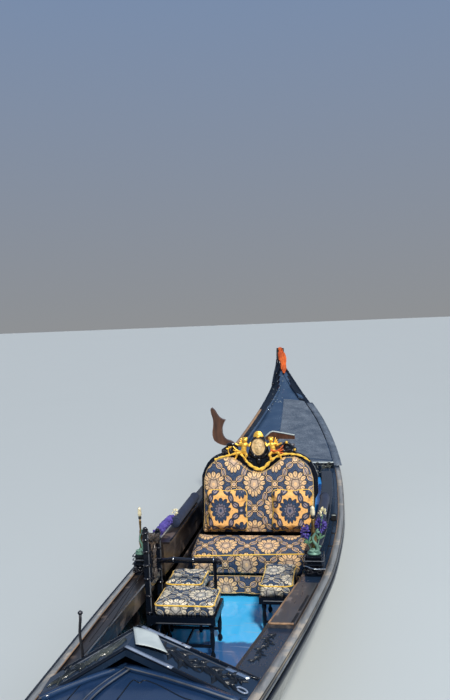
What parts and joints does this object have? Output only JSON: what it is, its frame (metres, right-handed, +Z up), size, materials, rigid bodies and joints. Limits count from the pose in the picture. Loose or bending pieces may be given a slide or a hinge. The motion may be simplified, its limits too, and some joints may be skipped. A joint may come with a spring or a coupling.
{
  "type": "gondola boat",
  "caption": "Long black asymmetric gondola with raking decks, toothed bow iron, cushioned double seat, chair and stools, vases and a lift-out walnut oar rest.",
  "frame": {"origin": "on the waterline, at mid-length, on the straight line from the stem to the stern post", "axes": "+Z up, +Y towards the stern, +X to port, the broader side of the hull"},
  "size_m": [1.466, 10.8996, 1.7459],
  "materials": {
    "black_paint": "gloss",
    "bottom_paint": "satin",
    "worn_rail": "worn",
    "blue_floor": "gloss",
    "old_varnish": "worn satin",
    "walnut": "oiled",
    "steel": "polished",
    "blue_brocade": "woven",
    "gold_brocade": "woven",
    "gilt": "polished",
    "ivory": "satin",
    "verdigris": "patinated",
    "blue_cloth": "woven",
    "orange_cloth": "woven",
    "mat_rubber": "matt"
  },
  "bodies": {
    "boat": {"bottom_planking_fore": "bottom_paint", "bottom_planking_mid": "bottom_paint", "bottom_planking_aft": "bottom_paint", "stem_post": "black_paint", "stern_post": "black_paint", "frames": "old_varnish", "floor_fore": "blue_floor", "floor_aft": "blue_floor", "bulkhead_fore": "black_paint", "bulkhead_stern": "black_paint", "platform_aft": "black_paint", "plank_raised": "black_paint", "side_port": "black_paint", "gunwale_port": "worn_rail", "foredeck_port": "black_paint", "chevron_port": "black_paint", "side_deck_port": "black_paint", "inner_board_port": "old_varnish", "coaming_port": "black_paint", "stern_deck_port": "black_paint", "bolster_port": "blue_cloth", "pedestal_port": "black_paint", "vase_port": "verdigris", "throw_cushion_port": "gold_brocade", "putto_port": "gilt", "stool_port_frame": "black_paint", "stool_port_cushion": "blue_brocade", "side_starboard": "black_paint", "gunwale_starboard": "worn_rail", "foredeck_starboard": "black_paint", "chevron_starboard": "black_paint", "side_deck_starboard": "black_paint", "inner_board_starboard": "old_varnish", "coaming_starboard": "black_paint", "stern_deck_starboard": "black_paint", "bolster_starboard": "blue_cloth", "pedestal_starboard": "black_paint", "vase_starboard": "verdigris", "throw_cushion_starboard": "gold_brocade", "putto_starboard": "gilt", "stool_starboard_frame": "black_paint", "stool_starboard_cushion": "blue_brocade", "bow_iron": "steel", "stern_wrap": "orange_cloth", "foot_wedge": "walnut", "oar_rest_socket": "black_paint", "deck_mat": "mat_rubber", "sofa_base": "black_paint", "sofa_skirt": "blue_brocade", "sofa_seat": "blue_brocade", "sofa_back_board": "black_paint", "sofa_back_cushion": "blue_brocade", "crest": "black_paint", "crest_shell": "gilt", "medallion": "ivory", "chair_frame": "black_paint", "chair_cushion": "blue_brocade"},
    "oar_rest": {"oar_rest": "walnut"}
  },
  "joints": [
    {"name": "oar_rest_lift", "type": "slide", "parent": "boat", "child": "oar_rest", "axis": [0, 0, 1], "range_m": [0, 0.12]}
  ]
}
